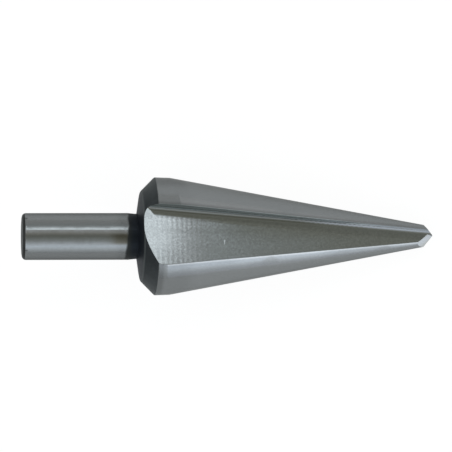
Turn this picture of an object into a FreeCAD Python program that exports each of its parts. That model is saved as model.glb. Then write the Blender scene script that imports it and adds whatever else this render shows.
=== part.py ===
import FreeCAD, Part
import itertools
import math
import os

from FreeCAD import Matrix, Placement, Rotation, Vector

# Conical drill for sheet metal: one piece of high speed steel with a plain round shank,
# two straight flutes, relieved lands and a split point. It cuts to the right.
# Millimetres and degrees. The bit is worked out along its own axis: X runs from the shank's
# free end to the tip, Z points out of the upper flute, and Y points at the land over it.
# At the end it is laid down as it comes to rest on a table, with the upper flute on top.

# Shank and neck
overall_length = 71.0
shank_diameter = 8.0
shank_length = 18.1
shank_end_radius = 0.7
neck_diameter = 7.7
neck_length = 1.55

# Back of the head
back_face_diameter = 15.45
back_face_angle = 9.5
back_edge_radius = 0.5
chamfer_angle = 45.4
chamfer_edge_radius = 0.3

# Head: a short land, nearly straight, then the cone, down to the shoulder of the point
head_diameter = 20.2
land_taper = 1.7
tip_diameter = 3.8
point_length = 1.5
cone_angle = 20.8
relief = 0.21

# Flutes: a square notch, cut along a straight line that falls to the axis. Its root is round
# under the cutting edge and then opens out along a wider curve into the floor.
root_height_back = 6.18
root_side_back = 4.84
root_height_tip = 0.73
root_side_tip = 0.72
root_radius = 0.7
floor_curve_radius = 4.2
floor_curve_turn = 18.0
notch_lean = 17.0

# Point: two flanks that make the cutting lips, and a gash beside each that thins the web
flank_angle = 49.8
flank_turn = 85.0
gash_angle = 33.5
gash_turn = 33.0
chisel_width = 0.2

shank_radius = shank_diameter / 2
neck_radius = neck_diameter / 2
back_face_radius = back_face_diameter / 2
head_radius = head_diameter / 2
tip_radius = tip_diameter / 2

# Stations along the axis
back_face_start = shank_length + neck_length
back_edge = back_face_start + (back_face_radius - neck_radius) * math.tan(math.radians(back_face_angle))
land_start = back_edge + (head_radius - back_face_radius) / math.tan(math.radians(chamfer_angle))
shoulder = overall_length - point_length

# How far the cuts and the stock run past the steel
beyond = 5.0
start = -beyond
end = overall_length + beyond
reach = 4 * head_radius

AXIS = Vector(1, 0, 0)
ORIGIN = Vector(0, 0, 0)
TIP = Vector(overall_length, 0, 0)

# Two lengths or directions that differ by less than this count as the same
nearly = 0.001


def cone_radius(station):
    """Radius of the head's cone, before its relief, at a station on the axis."""
    return tip_radius + (shoulder - station) * math.tan(math.radians(cone_angle / 2))


def land_radius(station):
    """Radius of the short land at the wide end of the head, at a station on the axis."""
    return head_radius - (station - land_start) * math.tan(math.radians(land_taper))


def around(azimuth):
    """Unit vector square to the axis; 0 degrees is up, 90 degrees is the side of the first land."""
    angle = math.radians(azimuth)
    return Vector(0, math.sin(angle), math.cos(angle))


def rounded(points, radii):
    """Wire through the points; radii names the inner corners that are round."""
    edges = []
    last = points[0]
    for index in range(1, len(points) - 1):
        corner = points[index]
        radius = radii.get(index, 0)
        if radius:
            before = (points[index - 1] - corner).normalize()
            after = (points[index + 1] - corner).normalize()
            half = before.getAngle(after) / 2
            setback = radius / math.tan(half)
            middle = (before + after).normalize() * (radius / math.sin(half) - radius)
            first = corner + before * setback
            edges.append(Part.LineSegment(last, first).toShape())
            last = corner + after * setback
            edges.append(Part.Arc(first, corner + middle, last).toShape())
        else:
            edges.append(Part.LineSegment(last, corner).toShape())
            last = corner
    edges.append(Part.LineSegment(last, points[-1]).toShape())
    return Part.Wire(edges)


def turned_blank():
    """Shank, neck, back face, chamfer and land, with the head still a plain bar up to the end.

    It is drawn in the plane where a flute cuts deepest into the back, so no seam is left there.
    """
    outline = []
    for station, radius in [
        (0, 0),
        (0, shank_radius),
        (shank_length, shank_radius),
        (back_face_start, neck_radius),
        (back_edge, back_face_radius),
        (land_start, head_radius),
        (end, land_radius(end)),
        (end, 0),
    ]:
        outline.append(AXIS * station + around(notch_lean) * radius)
    side = rounded(outline, {1: shank_end_radius, 4: back_edge_radius, 5: chamfer_edge_radius})
    axis = Part.LineSegment(outline[-1], outline[0]).toShape()
    return Part.Face(Part.Wire([side, axis])).revolve(ORIGIN, AXIS, 360)


def arc(centre, radius, first, last):
    """Arc square to the axis, between two azimuths."""
    ends = [centre + around(azimuth) * radius for azimuth in (first, (first + last) / 2, last)]
    return Part.Arc(*ends).toShape()


def notch(corner):
    """Section of a flute, whose two straight sides would meet at the corner."""
    rake = around(notch_lean)
    floor = around(notch_lean - 90)
    down = notch_lean + 180
    side = down - floor_curve_turn
    turn = math.radians(floor_curve_turn)
    curve_end = root_radius * (1 - math.sin(turn)) + floor_curve_radius * math.sin(turn)
    curve_centre = corner + floor * curve_end + rake * floor_curve_radius
    root_centre = curve_centre + around(side) * (floor_curve_radius - root_radius)
    far_rake = corner + rake * reach
    far_floor = corner + floor * reach
    return Part.Face(Part.Wire([
        Part.LineSegment(far_floor, corner + floor * curve_end).toShape(),
        arc(curve_centre, floor_curve_radius, down, side),
        arc(root_centre, root_radius, side, down - 90),
        Part.LineSegment(root_centre + around(down - 90) * root_radius, far_rake).toShape(),
        Part.LineSegment(far_rake, far_rake + floor * reach).toShape(),
        Part.LineSegment(far_rake + floor * reach, far_floor).toShape(),
    ]))


def flute_cutter():
    """What one straight pass of the grinding wheel takes out for the upper flute."""
    back = Vector(land_start, root_side_back, root_height_back)
    tip = Vector(overall_length, root_side_tip, root_height_tip)
    fall = (tip - back) * (1 / (overall_length - land_start))
    return notch(back + fall * (start - land_start)).extrude(fall * (end - start))


def relief_cutter():
    """What is ground off to leave the first land. Its cone is off centre, away from its heel."""
    centre = Vector(start, 0, relief)
    cone = Part.makeCone(cone_radius(start), cone_radius(end), end - start, centre, AXIS)
    return half_space(ORIGIN, around(90)).cut(cone)


def half_space(point, normal):
    """A block with one face through the point, on the side that the normal looks to."""
    size = 2 * overall_length
    block = Part.makeBox(size, size, size, Vector(-size / 2, -size / 2, 0))
    block.Placement = Placement(point, Rotation(Vector(0, 0, 1), normal))
    return block


def flank(azimuth):
    """What is ground off the tip to leave one flank, which falls away to the azimuth."""
    angle = math.radians(flank_angle)
    normal = AXIS * math.sin(angle) + around(azimuth) * math.cos(angle)
    return half_space(TIP, normal)


def gash(azimuth):
    """The notch beside a flank: a slope that thins the web, and a wall that faces its lip."""
    angle = math.radians(gash_angle)
    slope = AXIS * math.sin(angle) + around(azimuth) * math.cos(angle)
    wall = around(azimuth + gash_turn + notch_lean - 90)
    corner = TIP + around(azimuth) * (chisel_width / 2)
    return half_space(corner, slope).common(half_space(corner, wall))


def twice(shape):
    """The shape and its copy half a turn round the axis."""
    copy = shape.copy()
    copy.rotate(ORIGIN, AXIS, 180)
    return [shape, copy]


def ground_bit():
    bit = turned_blank()
    for cutter in [flute_cutter(), relief_cutter(), flank(flank_turn), gash(-gash_turn)]:
        for copy in twice(cutter):
            bit = bit.cut(copy)
    return bit.Solids[0]


def stands_over(corners, normal, centre):
    """Whether the centre of mass lies over the triangle of three corners."""
    turns = []
    for first, second in zip(corners, corners[1:] + corners[:1]):
        turns.append((second - first).cross(centre - first).dot(normal))
    return min(turns) >= 0 or max(turns) <= 0


def table_normal(bit):
    """Direction of the table from the bit, which stands on three corners of its lower flute."""
    points = [vertex.Point for vertex in bit.Vertexes]
    centre = bit.CenterOfMass
    best = Vector(0, 0, 0)
    for corners in itertools.combinations(points, 3):
        normal = (corners[1] - corners[0]).cross(corners[2] - corners[0])
        if normal.Length < nearly:
            continue
        normal.normalize()
        if normal.z > 0:
            normal = normal * -1
        if any((point - corners[0]).dot(normal) > nearly for point in points):
            continue
        if normal.z < best.z and stands_over(list(corners), normal, centre):
            best = normal
    return best


def laid_down(bit):
    """The bit turned and moved so that it lies on the table, centred over the origin."""
    up = table_normal(bit) * -1
    along = (AXIS - up * AXIS.dot(up)).normalize()
    across = up.cross(along)
    turn = Matrix(
        along.x, along.y, along.z, 0,
        across.x, across.y, across.z, 0,
        up.x, up.y, up.z, 0,
        0, 0, 0, 1,
    )
    bit = bit.copy()
    bit.Placement = Placement(turn)
    box = bit.optimalBoundingBox(False, False)
    bit.translate(Vector(-box.Center.x, -box.Center.y, -box.ZMin))
    print("shank end", bit.Placement.multVec(ORIGIN), "axis", turn.multVec(AXIS))
    return bit


def main():
    bit = laid_down(ground_bit())
    os.makedirs("parts", exist_ok=True)
    bit.exportStep("parts/drill_bit.step")
    print("valid", bit.isValid(), "faces", len(bit.Faces), "volume", bit.Volume)
    print("box", bit.optimalBoundingBox(False, False))


main()
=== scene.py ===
import math

import bmesh
import bpy
from mathutils import Matrix, Vector

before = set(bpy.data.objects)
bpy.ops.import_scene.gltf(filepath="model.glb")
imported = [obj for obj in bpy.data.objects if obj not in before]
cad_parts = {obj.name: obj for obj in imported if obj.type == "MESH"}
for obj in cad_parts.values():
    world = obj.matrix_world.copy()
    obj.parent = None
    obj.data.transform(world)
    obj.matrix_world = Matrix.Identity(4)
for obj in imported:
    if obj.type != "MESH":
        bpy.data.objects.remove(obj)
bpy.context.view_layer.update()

# Conical drill for sheet metal, lying on a pale table with its upper flute on top.
# Metres and degrees. Finishes are placed in the bit's own frame, in millimetres: X runs from
# the shank's free end to the tip, Z points out of the upper flute, Y at the land over it.

# How the bit lies
shank_end = Vector((-34.833, 0.0, 12.457))
axis_dip = 8.868
axis_roll = 0.518

# Where one face passes into the next along the axis, in millimetres
neck_start = 18.1
neck_end = 19.8
land_start = 22.5
cone_start = 23.9
shoulder = 69.5

# A finish with a pair of numbers starts to show at the first and shows in full at the second.

# A face that leans back this far was never ground, and on the head less of a lean is enough.
unground_lean = (0.33, 0.38)
head_back = (20.0, 20.5)
head_lean_less = 0.27
back_ends = (land_start + 0.14, land_start + 0.09)

# The bit's upper side, by the height over its axis
top_of_bit = (0.0, 1.0)

# The neck's dark skin ends on the shank in a ragged line, a little out of square
neck_skin_starts = (neck_start - 0.6, neck_start - 0.15)
neck_skin_ends = (neck_end + 0.01, neck_end)
neck_skin_slant = -0.085
neck_skin_rag = 0.12
neck_rag_scale = (0.7, 0.7, 0.7)

# Two pits in the shank's free end, by their side, and the stretch that they take
pits_side = [(3.05, 3.1), (-2.4, -2.35)]
pits_along = (0.3, 0.75)
pits_blur = 0.2
pits_share = 0.6

# Flutes: how a floor's plane leans, how far it lies from the axis at the land, and its fall.
# The root runs beside it; the floor was ground a little hollow and out of true towards the tip.
floor_lean = 17.0
floor_height = 7.325
floor_fall = 0.1323
root_side = -2.82
root_fall = -0.0484

# Faces of a flute, told by their depth under the floor's plane and their way from the root
flute_from = (0.1, 0.4)
below_edge = (0.0, 0.05)
level_with_floor = (0.05, 0.0)
floor_above = (-0.2, -0.01)
floor_below = (0.05, 0.02)
wall_way = (-0.03, 0.03)
wall_blur = 0.05
wall_above = (-0.3, -0.5)
root_from = (0.03, 0.12)
root_to = (0.7, 0.5)
root_above = (-0.1, -0.25)
# Beyond the root the floor's curve is also painted a little darker: painted shade
curve_way = (0.9, 1.1)
curve_blur = 0.3
curve_above = (-0.01, -0.05)
curve_shade_share = 0.3
# The root's painted shade fades out towards the tip
root_shade_fades = (54.0, 46.0)

# Beside the point, the wall and the root were ground once more: the wall's normal is pushed up and its
# colour darker, and the root is painted paler there as a painted highlight.
point_work = (50.0, 62.0)
point_wall_push = 0.75

# The corner where a floor runs in at its back end, and the flat stretch beside it
run_in_way = (2.1, 1.7)
run_in_ends = (21.0, 20.3)
run_in_slant = 0.9
run_in_lean = 5.0
run_in_push = 12.0
flat_way = (1.15, 1.55)
flat_ends = (34.0, 25.0)
flat_strength = 3.0

# Rounding of a flute's far edge by honing, wider at the back. It bends the normals, and the same stretch
# is also painted paler as a painted highlight, palest at the rim.
heel_width_tip = 1.9
heel_width_back = 2.5
heel_from = (cone_start, cone_start + 0.4)
heel_rim_depth = (0.35, 0.1)
heel_push = 0.2
heel_push_back = 0.3

# Degrees by which a floor is out of true, and the stretches over which it turns
turn_at_back = -2.2
fast_turn = 6.0
fast_stretch = (18.2, 31.8)
slow_turn = 6.4
slow_stretch = (30.0, 62.0)

# The hollow along a floor: degrees where it begins, and more where it is deepest
hollow_begins = (31.0, 39.0)
hollow_deepens = (40.0, 50.0)
hollow_fades = (66.0, 54.0)
hollow_turn = 3.4
hollow_more = 2.0
hollow_across = (0.9, 0.05)
hollow_at_tip = 0.4
lift_where_begun = 0.2
lift_where_deeper = 0.3
lift_before_tip = 0.8

# A floor's width, by the station along the axis
floor_width_at_end = 12.9
floor_narrows = 0.17

# Shallow dip by the heel at the back, and a streak along the middle
dip_way = (6.0, 8.5)
dip_ends = (28.0, 24.0)
dip_turn = 0.9
streak_across = (0.42, 0.46)
streak_blur = 0.08
streak_ends = (45.0, 38.0)
streak_turn = 0.45

# Grain of the floor, in degrees, and the wheel's fine lines along it
speckle_turn = 0.45
speckle_scale = (3.0, 3.4, 3.4)
lines_turn = 0.3
lines_scale = (0.06, 2.2, 2.2)

# The shank's surface wavers a little along its length
waver_push = 0.013
waver_scale = (1.3, 0.1, 0.1)
waver_ends = (neck_start, neck_start - 0.5)

# Marks of a wheel that shook, weaker along the middle of the floor, and finer ones in the root
marks_along = (21.0, 28.0)
marks_blur = 5.5
marks_middle = 5.7
marks_grow = (2.3, 3.3)
marks_turn = 0.7
marks_scale = (1.0, 0.3, 0.3)
teeth_along = (48.0, 58.0)
teeth_blur = 4.0
teeth_push = 0.16

# A small nick in a floor, and a darker brown patch on top of the shank beside the neck
nick_along = 34.0
nick_way = 4.75
nick_length = 0.6
nick_blur_along = 0.1
nick_blur_across = 0.15
nick_turn = -8.0
dark_patch_starts = (14.0, 16.4)
dark_patch_side = (-1.0, 0.1)
dark_patch_blur = 0.6
dark_patch_share = 0.9

# Tones of the ground steel: how much paler or duller than its colour it is, and where. The paler lands
# are a painted reflection; the duller cutting edge, rim, short land and shank side are painted shade.
# The lands on the cone are painted paler, the lower ones more: a painted reflection
cone_painted_light = 0.06
lower_land_painted_light = 0.07
cone_along = (26.5, 30.0)
lower_land_side = (1.0, -1.0)
land_way = (0.0, -0.05)
land_depth = (0.03, 0.08)
# Beside the cutting edge the land is painted duller: painted shade
edge_shade = 0.3
edge_way = (-0.8, -0.05)
edge_ends = (-0.03, -0.09)
edge_above = (-0.5, -1.0)
# Towards the land's rim at the back the steel is painted duller: painted shade
rim_shade = 0.22
rim_side = (7.8, 9.4)
rim_along = (28.5, 26.5)
# The short land on the head is painted duller: painted shade
short_land_shade = 0.26
short_land_side = (0.0, -2.0)
short_land_along = (cone_start, 23.2)
# The shank is duller towards the neck
neck_duller = 0.13
nearing_neck = (15.2, 17.2)
# The shank's lower side is painted duller: painted shade
shank_side_shade = 0.1
shank_side = (-2.5, -3.1)
# The heel's painted highlight is made duller towards its ends
heel_highlight_ends_duller = 0.17
heel_middle = (38.0, 50.0)
heel_middle_blur = 4.0

# Specks in the ground steel, more on a floor
speck_scale = (3.0, 3.2, 3.2)
speck_plain = 0.06
speck_on_floor = 0.1

# Colours of the ground steel, with painted light and shade among them
# The flute's wall is painted paler than the plain steel, more so towards the tip: painted reflected
# light
wall_changes = (20.0, 50.0)
# Faces turned towards the tip are painted much paler: a painted highlight
point_highlight_facing = (0.35, 0.45)
plain_steel = (0.32, 0.325, 0.325, 1)
# Paler steel on the heel and palest at its rim: a painted highlight
heel_highlight_steel = (0.41, 0.415, 0.42, 1)
heel_rim_highlight_steel = (0.58, 0.57, 0.56, 1)
# The wall's paler colours are painted reflected light
wall_painted_light_back = (0.38, 0.42, 0.41, 1)
wall_painted_light_tip = (0.56, 0.61, 0.60, 1)
# Darker steel in the root and the curve beside it: painted shade
root_shade_steel = (0.21, 0.21, 0.19, 1)
wall_by_point = (0.28, 0.29, 0.30, 1)
# Paler root by the point: a painted highlight
root_highlight_by_point = (0.42, 0.43, 0.44, 1)
# Painted highlight on faces turned towards the tip
point_highlight_steel = (0.73, 0.73, 0.72, 1)
dark_patch_brown = (0.19, 0.176, 0.144, 1)

# Colours of the oxide skin that was left on, with a painted reflection on the chamfer's sides and a
# painted highlight on the back face's rim
skin_shank_end = (0.028, 0.030, 0.029, 1)
skin_neck = (0.014, 0.018, 0.024, 1)
# The chamfer's skin is painted darker in the middle and paler towards the sides: a painted reflection
skin_chamfer_middle = (0.019, 0.023, 0.025, 1)
chamfer_sides_painted_reflection = (0.034, 0.040, 0.042, 1)
# Paler skin along the back face's rounded rim: a painted highlight
back_rim_highlight = (0.062, 0.070, 0.070, 1)
back_rim_radius = (7.6, 7.8)
back_rim_blur = 0.2
skin_changes = (17.8, 18.9)
chamfer_from = (20.2, 20.7)
chamfer_side = (3.0, 9.0)
blotch_scale = (0.9, 0.9, 0.9)
blotch_detail = 3.0
blotch_share = 0.22

# How the steel mirrors, ground and with its skin on
ground_metallic = 0.92
skin_metallic_loss = 0.5
ground_roughness = 0.2
skin_roughness_gain = 0.2
shank_tint = (0.45, 0.45, 0.45, 1)
head_tint = (0.75, 0.75, 0.75, 1)

# The photograph's camera, in the bit's own frame, in millimetres
camera_place = Vector((-24.07, 1.757, 493.4))
camera_turn = 6.83
camera_roll = 0.06
camera_lens = 230.5
sensor_width = 36.0
nearest_seen = 0.01

# The sheet that the bit lies on, and how much of it is shown and mirrored as plain white
floor_size = 2.0
floor_paper = (0.76, 0.76, 0.76, 1)
floor_roughness = 0.9
floor_white = 1.1
floor_seen_white = 0.85
floor_mirrored_white = 0.08

# Point on the bit's axis that the lamps are aimed at
lamp_aim = Vector((35, 0, 0))

# The wide window ends ahead of the tip, at these degrees of lean, so steeper faces mirror the
# plain wall beyond it. Behind the shank is one more wall, by the direction's part along the axis.
window_ends = (8, 13)
wall_behind_ends = (-1.0, -0.5)
wall_behind = (0.32, 0.33, 0.34, 1)

# What the steel mirrors, by the angle round the bit's axis: (degrees from straight up, colour)
window_side = [
    (-180, (0.48, 0.48, 0.48)),
    (-125, (0.38, 0.39, 0.39)),
    (-102, (0.36, 0.375, 0.375)),
    (-92, (0.41, 0.435, 0.44)),
    (-80, (0.56, 0.60, 0.62)),
    (-64, (0.92, 1.00, 1.06)),
    (-50, (1.20, 1.35, 1.50)),
    (-40, (0.98, 1.07, 1.15)),
    (-24, (0.51, 0.55, 0.56)),
    (-10, (0.32, 0.35, 0.32)),
    (0, (0.21, 0.22, 0.19)),
    (6, (0.21, 0.215, 0.18)),
    (16, (0.405, 0.40, 0.355)),
    (21, (0.46, 0.46, 0.43)),
    (25, (0.56, 0.56, 0.56)),
    (28, (0.66, 0.68, 0.70)),
    (34, (0.455, 0.51, 0.53)),
    (60, (0.36, 0.39, 0.39)),
    (76, (0.43, 0.45, 0.45)),
    (100, (0.48, 0.50, 0.50)),
    (135, (0.42, 0.43, 0.42)),
    (180, (0.48, 0.48, 0.48)),
]
wall_side = [
    (-180, (0.53, 0.53, 0.53)),
    (-120, (0.53, 0.54, 0.55)),
    (-96, (0.62, 0.65, 0.68)),
    (-76, (0.66, 0.71, 0.76)),
    (-58, (0.72, 0.79, 0.87)),
    (-46, (0.80, 0.88, 0.98)),
    (-34, (0.60, 0.65, 0.70)),
    (-22, (0.40, 0.41, 0.37)),
    (-10, (0.26, 0.27, 0.23)),
    (0, (0.24, 0.25, 0.205)),
    (6, (0.265, 0.275, 0.23)),
    (12, (0.285, 0.293, 0.237)),
    (17, (0.305, 0.315, 0.255)),
    (22, (0.365, 0.395, 0.36)),
    (28, (0.445, 0.50, 0.51)),
    (60, (0.51, 0.53, 0.54)),
    (84, (0.67, 0.69, 0.70)),
    (110, (0.58, 0.60, 0.60)),
    (180, (0.53, 0.53, 0.53)),
]


def bit_frame():
    """The turn from the bit's own frame to the table's."""
    dip = Matrix.Rotation(math.radians(axis_dip), 3, "Y")
    roll = Matrix.Rotation(math.radians(axis_roll), 3, "X")
    return dip @ roll


def on_table(point):
    """A point of the bit's own frame, in millimetres, as a place on the table in metres."""
    return (bit_frame() @ point + shank_end) / 1000


def around(azimuth):
    """Unit vector square to the axis, in the bit's own frame."""
    angle = math.radians(azimuth)
    return Vector((0, math.sin(angle), math.cos(angle)))


class Field:
    """A value that varies over a surface: one output of a node. Fields add and multiply."""

    def __init__(self, made, output=0):
        self.socket = made.outputs[output]
        self.tree = made.id_data

    def __add__(self, other):
        return calculated("ADD", self, other)

    def __sub__(self, other):
        return calculated("SUBTRACT", self, other)

    def __rsub__(self, other):
        return calculated("SUBTRACT", other, self)

    def __mul__(self, other):
        return calculated("MULTIPLY", self, other)

    def __truediv__(self, other):
        return calculated("DIVIDE", self, other)

    __radd__ = __add__


def new_nodes(owner):
    owner.use_nodes = True
    owner.node_tree.nodes.clear()
    return owner.node_tree


def node(tree, kind, sockets=None, **settings):
    """A node with its settings; sockets maps an input's name or number to a value or a field."""
    made = tree.nodes.new(kind)
    for name, value in settings.items():
        setattr(made, name, value)
    for key, value in (sockets or {}).items():
        if isinstance(value, Field):
            tree.links.new(value.socket, made.inputs[key])
        else:
            made.inputs[key].default_value = value
    return made


def calculated(operation, first, second=0.0, clamp=False):
    """A field worked out from two values, of which at least one is a field."""
    tree = first.tree if isinstance(first, Field) else second.tree
    made = node(tree, "ShaderNodeMath", {0: first, 1: second}, operation=operation, use_clamp=clamp)
    return Field(made)


def larger(first, second):
    return calculated("MAXIMUM", first, second)


def size_of(value):
    return calculated("ABSOLUTE", value)


def step(value, limits):
    """0 at the first limit, 1 at the second, smooth between."""
    start, end = limits
    made = node(value.tree, "ShaderNodeMapRange", {
        "Value": value,
        "From Min": start,
        "From Max": end,
    }, interpolation_type="SMOOTHSTEP", clamp=True)
    return Field(made)


def patch(value, limits, blur):
    """1 between two limits, falling to 0 within the blur outside them."""
    first, last = limits
    return step(value, (first - blur, first)) * step(value, (last + blur, last))


def mixed(share, first, second):
    """A colour that goes from the first to the second as the share goes from 0 to 1."""
    made = node(share.tree, "ShaderNodeMix", {0: share, 6: first, 7: second}, data_type="RGBA")
    return Field(made, 2)


def vector_maths(operation, first, second=(0, 0, 0)):
    return node(first.tree, "ShaderNodeVectorMath", {0: first, 1: second}, operation=operation)


def stretched(place, scale):
    """A place multiplied by its own scale in each direction."""
    return Field(vector_maths("MULTIPLY", place, scale))


def distance_along(place, direction):
    return Field(vector_maths("DOT_PRODUCT", place, direction), "Value")


def scaled(vector, amount):
    """A colour or a direction, made as strong as the amount."""
    made = node(amount.tree, "ShaderNodeVectorMath", {0: vector, "Scale": amount}, operation="SCALE")
    return Field(made)


def pushed(normal, direction, amount):
    """A normal bent by the amount towards a direction of the bit's own frame."""
    return Field(vector_maths("ADD", normal, scaled(bit_frame() @ direction, amount)))


def parts_of(vector):
    """The three numbers of a vector."""
    made = node(vector.tree, "ShaderNodeSeparateXYZ", {0: vector})
    return [Field(made, axis) for axis in range(3)]


def own_frame(tree):
    """Object coordinates turned into the bit's own frame, in millimetres."""
    back = bit_frame().transposed()
    place = Field(node(tree, "ShaderNodeTexCoord"), "Object")
    mapping = node(tree, "ShaderNodeMapping", {
        "Vector": place,
        "Location": -(back @ shank_end),
        "Rotation": back.to_euler("XYZ"),
        "Scale": (1000, 1000, 1000),
    })
    return Field(mapping)


def own_direction(direction):
    """The three parts of a direction, turned into the bit's own frame."""
    mapping = node(direction.tree, "ShaderNodeMapping", {
        "Vector": direction,
        "Rotation": bit_frame().transposed().to_euler("XYZ"),
    }, vector_type="VECTOR")
    return parts_of(Field(mapping))


def grain(place, scale, detail=2.0):
    """Noise about 0, stretched by the scale along each of the bit's own directions."""
    noise = node(place.tree, "ShaderNodeTexNoise", {
        "Vector": stretched(place, scale),
        "Scale": 1.0,
        "Detail": detail,
    })
    return (Field(noise) - 0.5) * 4.0


def chatter(place):
    """Marks of a grinding wheel that shook, from -0.5 to 0.5, one every 0.85 mm."""
    marks = node(place.tree, "ShaderNodeTexWave", {
        "Vector": stretched(place, marks_scale),
        "Scale": 0.37,
        "Distortion": 0.7,
        "Detail": 2.0,
        "Detail Scale": 1.5,
    }, wave_type="BANDS", bands_direction="X")
    return Field(marks, "Fac") - 0.5


class Survey:
    """What is known of a point of the steel: its place on the bit, and the face that it lies on.

    half is 1 in the upper flute and -1 in the lower one. depth is measured under the plane of a
    flute's floor, and way from the flute's root to its far edge. Faces are shares from 0 to 1.
    """

    def __init__(self, tree):
        self.place = own_frame(tree)
        self.along, self.side, self.up = parts_of(self.place)
        self.on_top = step(self.up, top_of_bit)
        self.find_flute()
        self.find_heel()
        self.find_back(tree)

    def find_flute(self):
        height = distance_along(self.place, around(floor_lean))
        side = distance_along(self.place, around(floor_lean - 90))
        past_land = self.along - land_start
        self.half = calculated("SIGN", height)
        self.depth = floor_height - past_land * floor_fall - size_of(height)
        self.way = side * self.half - (root_side - past_land * root_fall)
        self.in_flute = step(self.way, flute_from)
        self.on_floor = step(self.depth, floor_above) * step(self.depth, floor_below) * self.in_flute
        self.on_wall = patch(self.way, wall_way, wall_blur) * step(self.depth, wall_above)
        self.in_root = step(self.way, root_from) * step(self.way, root_to) * step(self.depth, root_above)

    def find_heel(self):
        """The honed far edge of the flute, strongest at the edge itself."""
        to_tip = step(self.along, (land_start, shoulder))
        width = heel_width_back - to_tip * (heel_width_back - heel_width_tip)
        nearness = calculated("SUBTRACT", 1.0, self.depth / width, clamp=True)
        below = step(self.depth, below_edge) * self.in_flute
        self.on_heel = nearness * below * step(self.along, heel_from)

    def find_back(self, tree):
        """Faces that look backwards, and the corner where a floor runs in between them."""
        facing = own_direction(Field(node(tree, "ShaderNodeTexCoord"), "Normal"))
        self.forwards = facing[0]
        backwards = step(self.along, head_back) * head_lean_less - self.forwards
        self.leans_back = step(backwards, unground_lean) * step(self.along, back_ends)
        past_end = self.along - self.way * run_in_slant
        beside_root = step(self.way, run_in_way) * step(past_end, run_in_ends)
        level = step(self.depth, level_with_floor)
        self.run_in = beside_root * level * (1.0 - self.leans_back)
        self.flat = step(self.way, flat_way) * level * step(self.along, flat_ends) * flat_strength


def unground(at):
    """Share of the skin that was never ground: the end's edge, the neck, the head's back, pits."""
    ragged = at.along + at.side * neck_skin_slant + grain(at.place, neck_rag_scale) * neck_skin_rag
    on_neck = step(ragged, neck_skin_starts) * step(at.along, neck_skin_ends)
    first, second = [patch(at.side, side, pits_blur) for side in pits_side]
    pits = (first + second) * patch(at.along, pits_along, pits_blur) * at.on_top * pits_share
    return larger(at.leans_back, larger(on_neck, pits))


def hollow(at, across):
    """Degrees by which the hollow turns the floor: to the heel beside the root, and back beyond."""
    begun = step(at.along, hollow_begins)
    deeper = step(at.along, hollow_deepens)
    before_tip = step(at.along, hollow_fades)
    bowl = (deeper * hollow_more + hollow_turn) * step(across, hollow_across) * begun
    bowl = bowl * (before_tip * (1.0 - hollow_at_tip) + hollow_at_tip)
    lift = deeper * (before_tip * lift_before_tip + lift_where_deeper)
    return bowl - (begun * lift_where_begun + lift)


def wheel_marks(at):
    """Degrees by which the wheel's marks turn the floor."""
    from_middle = size_of(at.way - marks_middle)
    strength = step(from_middle, marks_grow) * marks_turn + marks_turn
    return strength * chatter(at.place) * patch(at.along, marks_along, marks_blur)


def nick(at):
    """Degrees by which the small nick turns the floor."""
    along = patch(at.along, (nick_along, nick_along), nick_blur_along)
    across = patch(at.way, (nick_way, nick_way + nick_length), nick_blur_across)
    return along * across * nick_turn


def floor_turn(at):
    """Degrees by which the floor's normal is out of true, away from the cutting edge."""
    across = at.way / (floor_width_at_end - at.along * floor_narrows)
    turns = [
        step(at.along, fast_stretch) * fast_turn,
        step(at.along, slow_stretch) * slow_turn,
        hollow(at, across),
        step(at.way, dip_way) * step(at.along, dip_ends) * dip_turn,
        patch(across, streak_across, streak_blur) * step(at.along, streak_ends) * streak_turn,
        wheel_marks(at),
        grain(at.place, speckle_scale) * speckle_turn,
        grain(at.place, lines_scale) * lines_turn,
        nick(at),
    ]
    return sum(turns, turn_at_back)


def bent_normal(at, tree):
    """The steel's own normal, bent where a face is honed, hollow, marked or out of true."""
    by_point = step(at.along, point_work)
    turn = floor_turn(at) * math.radians(1) * at.on_floor * at.half * (at.flat + 1.0)
    teeth = chatter(at.place) * at.in_root * patch(at.along, teeth_along, teeth_blur) * teeth_push
    eased = at.on_wall * by_point * point_wall_push
    upwards = (at.on_heel * heel_push + eased + teeth) * at.half
    waver = grain(at.place, waver_scale) * step(at.along, waver_ends) * waver_push
    normal = Field(node(tree, "ShaderNodeNewGeometry"), "Normal")
    normal = pushed(normal, around(floor_lean - 90), turn)
    normal = pushed(normal, around(floor_lean), upwards)
    normal = pushed(normal, around(floor_lean + run_in_lean), at.run_in * at.half * run_in_push)
    normal = pushed(normal, around(floor_lean), at.flat * at.half)
    normal = pushed(normal, Vector((-1, 0, 0)), at.on_heel * heel_push_back)
    normal = pushed(normal, around(90), waver)
    return Field(vector_maths("NORMALIZE", normal))


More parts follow.
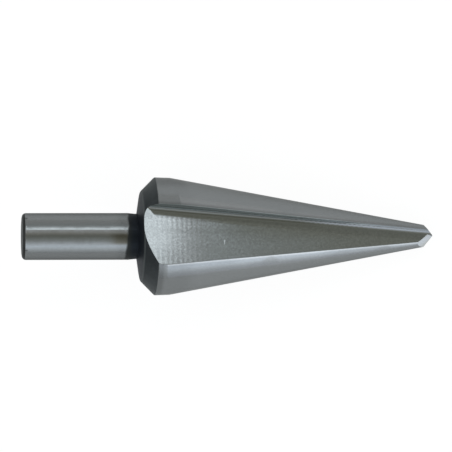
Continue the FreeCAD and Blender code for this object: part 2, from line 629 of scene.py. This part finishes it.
def ground_colour(at):
    """The ground steel face by face, before its tones, with painted light and shade in it: painted
    highlights on the heel, on faces turned to the tip and in the root by the point, painted reflected
    light on the wall, painted shade in the root, and a darker brown patch on the shank.
    """
    by_point = step(at.along, point_work)
    along_root = step(at.along, root_shade_fades)
    # The wall's paler colour is painted reflected light, changing towards the tip
    wall = mixed(step(at.along, wall_changes), wall_painted_light_back, wall_painted_light_tip)
    in_curve = patch(at.way, curve_way, curve_blur) * step(at.depth, curve_above) * along_root
    # A darker brown patch on top of the shank beside the neck
    dark_patch = step(at.along, dark_patch_starts) * patch(at.side, dark_patch_side, dark_patch_blur)
    dark_patch = dark_patch * step(at.along, (neck_end, neck_start)) * at.on_top * dark_patch_share
    # The heel and its rim are painted paler: a painted highlight
    colour = mixed(at.on_heel, plain_steel, heel_highlight_steel)
    for share, steel_there in [
        (at.on_heel * step(at.depth, heel_rim_depth), heel_rim_highlight_steel),
        (at.on_wall, wall),
        # The root and the curve beside it are painted darker: painted shade
        (at.in_root * along_root, root_shade_steel),
        (in_curve * curve_shade_share, root_shade_steel),
        (at.run_in, plain_steel),
        (at.on_wall * by_point, wall_by_point),
        # By the point the root is painted paler: a painted highlight
        (at.in_root * by_point, root_highlight_by_point),
        # Faces turned towards the tip are painted paler: a painted highlight
        (step(at.forwards, point_highlight_facing), point_highlight_steel),
        (dark_patch, dark_patch_brown),
    ]:
        colour = mixed(share, colour, steel_there)
    return colour


def tones(at):
    """How bright the ground steel is on each part: lands painted paler as a painted reflection; the
    cutting edge, rim, short land and the shank's lower side painted duller as painted shade; the shank
    duller towards the neck; the heel's painted highlight duller at its ends.
    """
    on_land = larger(step(at.way, land_way), step(at.depth, land_depth))
    on_shank = step(at.along, (neck_end, neck_start))
    on_head = step(at.along, (neck_end, land_start))
    lower = step(at.side, lower_land_side)
    # Paler lands, more on the lower side: a painted reflection
    paler = (lower * lower_land_painted_light + cone_painted_light) * on_land * step(at.along, cone_along)
    # Beside the cutting edge the land is painted duller: painted shade
    in_edge_shade = step(at.way, edge_way) * step(at.way, edge_ends) * step(at.depth, edge_above)
    # Towards the land's rim at the back the steel is painted duller: painted shade
    in_rim_shade = step(at.side, rim_side) * step(at.along, rim_along)
    # The short land on the head is painted duller: painted shade
    on_short_land = step(at.side, short_land_side) * step(at.along, short_land_along) * on_land * on_head
    # The shank is duller towards the neck
    by_neck = step(at.along, nearing_neck) * on_shank
    # The shank's lower side is painted duller: painted shade
    in_shank_side_shade = step(at.side, shank_side) * on_shank
    # The heel's painted highlight is duller at its ends, outside the middle
    on_heel_highlight_ends = at.on_heel * (1.0 - patch(at.along, heel_middle, heel_middle_blur))
    duller = in_edge_shade * edge_shade + in_rim_shade * rim_shade + on_short_land * short_land_shade
    duller = duller + by_neck * neck_duller + in_shank_side_shade * shank_side_shade
    duller = duller + on_heel_highlight_ends * heel_highlight_ends_duller
    return paler + 1.0 - duller


def skin_colour(at):
    """The oxide skin: nearly black on the neck; on the chamfer paler towards the sides, a painted
    reflection; paler on the back face's rim, a painted highlight.
    """
    skin = mixed(step(at.along, skin_changes), skin_shank_end, skin_neck)
    # The chamfer is painted paler towards its sides: a painted reflection
    chamfer = mixed(step(size_of(at.side), chamfer_side), skin_chamfer_middle, chamfer_sides_painted_reflection)
    skin = mixed(step(at.along, chamfer_from), skin, chamfer)
    skin = scaled(skin, grain(at.place, blotch_scale, blotch_detail) * blotch_share + 1.0)
    across = stretched(at.place, (0, 1, 1))
    radius = Field(vector_maths("LENGTH", across), "Value")
    # Paler skin along the back face's rounded rim: a painted highlight
    return mixed(patch(radius, back_rim_radius, back_rim_blur), skin, back_rim_highlight)


def steel():
    material = bpy.data.materials.new("high speed steel")
    tree = new_nodes(material)
    at = Survey(tree)
    skin = unground(at)
    speck = grain(at.place, speck_scale) * (at.on_floor * speck_on_floor + speck_plain)
    ground = scaled(ground_colour(at), (speck + 1.0) * tones(at))
    shader = node(tree, "ShaderNodeBsdfPrincipled", {
        "Base Color": mixed(skin, ground, skin_colour(at)),
        "Metallic": ground_metallic - skin * skin_metallic_loss,
        "Roughness": skin * skin_roughness_gain + ground_roughness,
        "Specular Tint": mixed(step(at.along, (neck_start, land_start)), shank_tint, head_tint),
        "Normal": bent_normal(at, tree),
    })
    node(tree, "ShaderNodeOutputMaterial", {"Surface": Field(shader)})
    return material


def pale_floor():
    mesh = bpy.data.meshes.new("floor")
    shape = bmesh.new()
    bmesh.ops.create_grid(shape, x_segments=1, y_segments=1, size=floor_size / 2)
    shape.to_mesh(mesh)
    shape.free()
    floor = bpy.data.objects.new("floor", mesh)
    bpy.context.scene.collection.objects.link(floor)
    mesh.materials.append(white_sheet())


def white_sheet():
    material = bpy.data.materials.new("white sheet")
    tree = new_nodes(material)
    paper = node(tree, "ShaderNodeBsdfPrincipled", {
        "Base Color": floor_paper,
        "Roughness": floor_roughness,
    })
    white = node(tree, "ShaderNodeEmission", {"Strength": floor_white})
    path = node(tree, "ShaderNodeLightPath")
    seen = Field(path, "Is Camera Ray") * floor_seen_white
    mirrored = Field(path, "Is Glossy Ray") * floor_mirrored_white
    shown = node(tree, "ShaderNodeMixShader", {0: seen + mirrored, 1: Field(paper), 2: Field(white)})
    node(tree, "ShaderNodeOutputMaterial", {"Surface": Field(shown)})
    return material


def ring_of(share, stops):
    """The colours all the way round the axis; the share goes from 0 to 1 in one turn."""
    ramp = node(share.tree, "ShaderNodeValToRGB", {0: share})
    made = ramp.color_ramp.elements
    made.remove(made[1])
    for index, (degrees, colour) in enumerate(stops):
        position = degrees / 360 + 0.5
        stop = made[0] if index == 0 else made.new(position)
        stop.position = position
        stop.color = (*colour, 1)
    return Field(ramp)


def light_world():
    world = bpy.data.worlds.new("studio")
    bpy.context.scene.world = world
    tree = new_nodes(world)
    forwards, side, up = own_direction(Field(node(tree, "ShaderNodeTexCoord"), "Generated"))
    share = calculated("ARCTAN2", side, up) / math.tau + 0.5
    beyond = step(forwards, [math.sin(math.radians(degrees)) for degrees in window_ends])
    studio = mixed(beyond, ring_of(share, window_side), ring_of(share, wall_side))
    studio = mixed(step(forwards, wall_behind_ends), wall_behind, studio)
    seen = Field(node(tree, "ShaderNodeLightPath"), "Is Camera Ray")
    shown = node(tree, "ShaderNodeBackground", {
        "Color": mixed(seen, studio, (1, 1, 1, 1)),
        "Strength": 1.0,
    })
    node(tree, "ShaderNodeOutputWorld", {"Surface": Field(shown)})


def softbox(name, azimuth, lean, distance, size, strength, colour):
    """A lamp at an angle round the bit's axis and a lean along it, as bright as its strength."""
    lean = math.radians(lean)
    back = Vector((1, 0, 0)) * math.sin(lean) + around(azimuth) * math.cos(lean)
    right = Vector((1, 0, 0)) - back * back.x
    right.normalize()
    turned = Matrix((right, back.cross(right), back)).transposed()
    light = bpy.data.lights.new(name, "AREA")
    light.shape = "RECTANGLE"
    light.size, light.size_y = size
    light.energy = strength * math.pi * light.size * light.size_y
    light.color = colour
    lamp = bpy.data.objects.new(name, light)
    bpy.context.scene.collection.objects.link(lamp)
    place = on_table(lamp_aim + back * distance * 1000)
    lamp.matrix_world = Matrix.Translation(place) @ (bit_frame() @ turned).to_4x4()
    lamp.visible_camera = False


def place_camera():
    """The photograph's view: nearly straight down, with the tip a little farther away."""
    turn = math.radians(camera_turn)
    right = Vector((math.cos(turn), 0, math.sin(turn)))
    up = Vector((0, 1, 0))
    seen = Matrix((right, up, right.cross(up))).transposed()
    seen = seen @ Matrix.Rotation(math.radians(-camera_roll), 3, "Z")
    lens = bpy.data.cameras.new("camera")
    lens.lens = camera_lens
    lens.sensor_width = sensor_width
    lens.clip_start = nearest_seen
    camera = bpy.data.objects.new("camera", lens)
    bpy.context.scene.collection.objects.link(camera)
    camera.matrix_world = Matrix.Translation(on_table(camera_place)) @ (bit_frame() @ seen).to_4x4()
    bpy.context.scene.camera = camera


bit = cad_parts["drill_bit"]
bit.data.materials.clear()
bit.data.materials.append(steel())

pale_floor()
light_world()
softbox(
    "window over the back",
    azimuth=38.0,
    lean=-2.0,
    distance=0.6,
    size=(0.62, 0.145),
    strength=1.66,
    colour=(0.90, 0.99, 1.04),
)
softbox(
    "lamp behind the shank",
    azimuth=0.0,
    lean=-62.0,
    distance=0.9,
    size=(0.6, 0.9),
    strength=1.0,
    colour=(1.0, 1.0, 1.0),
)
place_camera()

bpy.context.scene.view_settings.view_transform = "Standard"
